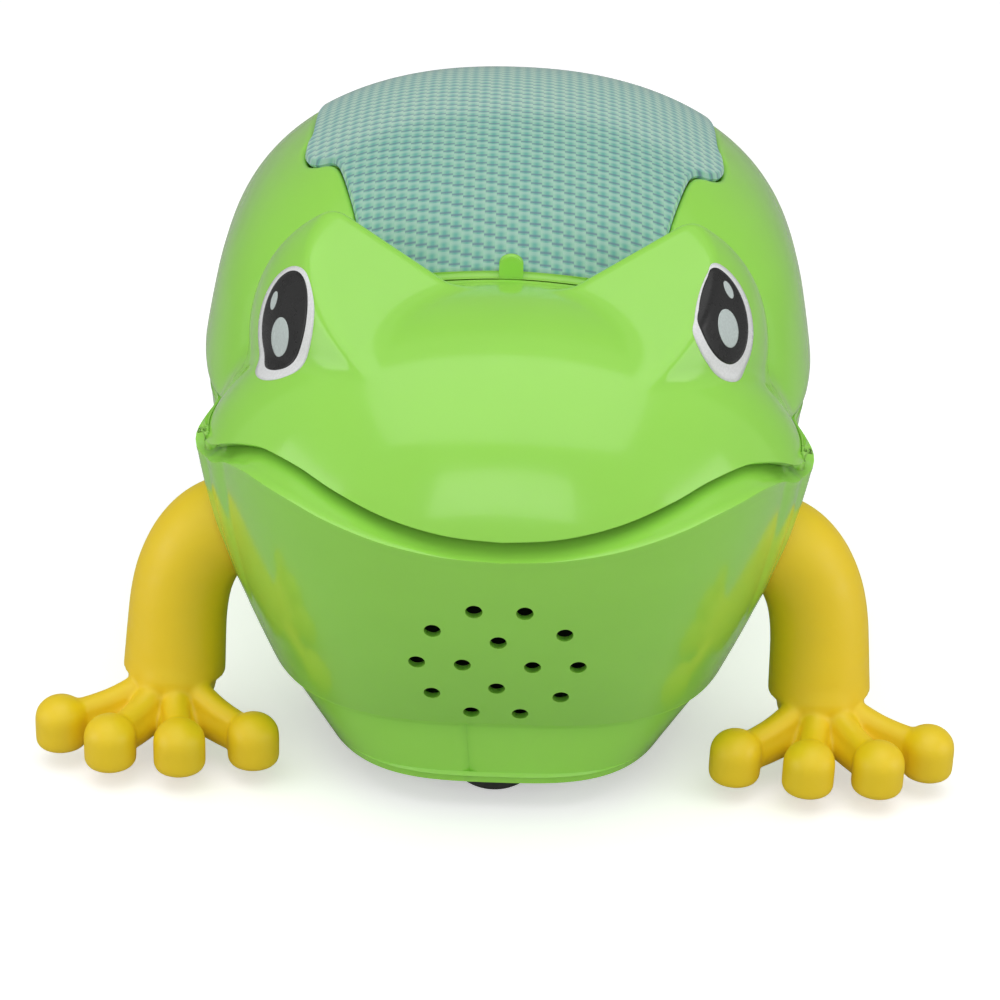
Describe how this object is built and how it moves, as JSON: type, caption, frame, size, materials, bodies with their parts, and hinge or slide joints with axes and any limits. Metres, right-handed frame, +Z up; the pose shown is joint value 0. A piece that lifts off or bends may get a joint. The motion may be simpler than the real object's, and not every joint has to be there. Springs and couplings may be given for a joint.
{
  "type": "battery crawling frog toy",
  "caption": "Moulded plastic crawling frog with a swivelling motor turret, swinging arms, rear wheels, speaker and lit back lens.",
  "frame": {"origin": "floor point under the middle of the frog, at the centre of its bounding box's base", "axes": "+Z up, the frog faces -Y, +X is its left side"},
  "size_m": [0.185, 0.176, 0.118],
  "materials": {
    "green_plastic": "glossy lime green moulded ABS",
    "yellow_plastic": "satin yellow soft plastic",
    "lens": "translucent teal, prismatic grid inside",
    "sticker": "printed glossy film",
    "black_plastic": "satin black",
    "white_plastic": "natural acetal",
    "cream_plastic": "cream styrene",
    "steel": "nickel plated",
    "motor_steel": "zinc plated",
    "brass": "turned",
    "tyre": "moulded rubber",
    "cell": "plain wrapped cell",
    "paper": "doped paper cone",
    "board": "green laminate",
    "lamp_red": "tinted epoxy",
    "lamp_blue": "tinted epoxy"
  },
  "bodies": {
    "chassis": {"head_shell": "green_plastic", "lower_shell": "green_plastic", "back_shell": "green_plastic", "lens_cover": "lens", "lens_clip": "green_plastic", "eye_sticker_left": "sticker", "eye_sticker_right": "sticker", "base_plate": "green_plastic", "battery_1": "cell", "battery_2": "cell", "battery_3": "cell", "battery_contact_left": "steel", "battery_contact_right": "steel", "switch_body": "steel", "gearbox_tray": "white_plastic", "gearbox_cover": "white_plastic", "motor": "motor_steel", "speaker_frame": "motor_steel", "speaker_magnet": "motor_steel", "speaker_cone": "paper", "main_board": "board", "battery_bay_cover": "green_plastic", "lamp_board": "board", "lamp_stand": "cream_plastic", "led_1": "lamp_red", "led_2": "lamp_blue", "led_3": "lamp_red", "base_screw_1": "steel", "base_screw_2": "steel", "base_screw_3": "steel", "gearbox_screw_1": "steel", "gearbox_screw_2": "steel", "gearbox_screw_3": "steel", "gearbox_screw_4": "steel"},
    "arms": {"arm_left": "yellow_plastic", "arm_right": "yellow_plastic", "arm_shaft": "steel", "arm_rocker": "white_plastic"},
    "output": {"output_gear": "white_plastic", "crank": "white_plastic"},
    "second_gear": {"gear_2": "white_plastic"},
    "first_gear": {"gear_1": "white_plastic"},
    "motor_rotor": {"motor_pinion": "brass"},
    "turret": {"turret": "black_plastic", "turret_cover": "black_plastic"},
    "drive_wheels": {"drive_axle": "steel", "crown_wheel": "white_plastic", "drive_wheel_rear": "black_plastic", "drive_wheel_front": "black_plastic", "drive_tyre_rear": "tyre", "drive_tyre_front": "tyre"},
    "rear_wheels": {"rear_axle": "steel", "rear_wheel_left": "black_plastic", "rear_wheel_right": "black_plastic", "rear_tyre_left": "tyre", "rear_tyre_right": "tyre"},
    "battery_door": {"battery_door": "green_plastic", "door_screw": "steel"},
    "power_switch": {"power_switch_knob": "black_plastic"}
  },
  "joints": [
    {"name": "arm_swing", "type": "hinge", "parent": "chassis", "child": "arms", "pos_m": [0, -0.033, 0.045], "axis": [-1, 0, 0], "range_deg": [-2, 14]},
    {"name": "output_spin", "type": "hinge", "parent": "chassis", "child": "output", "pos_m": [0, -0.043, 0.03], "axis": [0, 0, 1], "continuous": true},
    {"name": "second_gear_spin", "type": "hinge", "parent": "chassis", "child": "second_gear", "pos_m": [-0.00699, -0.03264, 0.03], "axis": [0, 0, 1], "continuous": true},
    {"name": "first_gear_spin", "type": "hinge", "parent": "chassis", "child": "first_gear", "pos_m": [-0.00124, -0.02268, 0.03], "axis": [0, 0, 1], "continuous": true},
    {"name": "motor_spin", "type": "hinge", "parent": "chassis", "child": "motor_rotor", "pos_m": [0.00689, -0.01455, 0.04], "axis": [0, 0, 1], "continuous": true},
    {"name": "turret_swivel", "type": "hinge", "parent": "chassis", "child": "turret", "pos_m": [0, -0.043, 0.009], "axis": [0, 0, 1], "continuous": true},
    {"name": "drive_axle_spin", "type": "hinge", "parent": "turret", "child": "drive_wheels", "pos_m": [0, -0.043, 0.0095], "axis": [0, 1, 0], "continuous": true},
    {"name": "rear_axle_spin", "type": "hinge", "parent": "chassis", "child": "rear_wheels", "pos_m": [0, 0.058, 0.0075], "axis": [1, 0, 0], "continuous": true},
    {"name": "battery_door_tilt", "type": "hinge", "parent": "chassis", "child": "battery_door", "pos_m": [0, 0.0013, 0.0062], "axis": [-1, 0, 0], "range_deg": [0, 75]},
    {"name": "power_switch_slide", "type": "slide", "parent": "chassis", "child": "power_switch", "axis": [1, 0, 0], "range_m": [0, 0.0036]}
  ],
  "couplings": [
    {"joint": "drive_axle_spin", "follows": "output_spin", "ratio": -0.5},
    {"joint": "second_gear_spin", "follows": "output_spin", "ratio": -4},
    {"joint": "first_gear_spin", "follows": "output_spin", "ratio": 14.4},
    {"joint": "motor_spin", "follows": "output_spin", "ratio": -51.84}
  ]
}
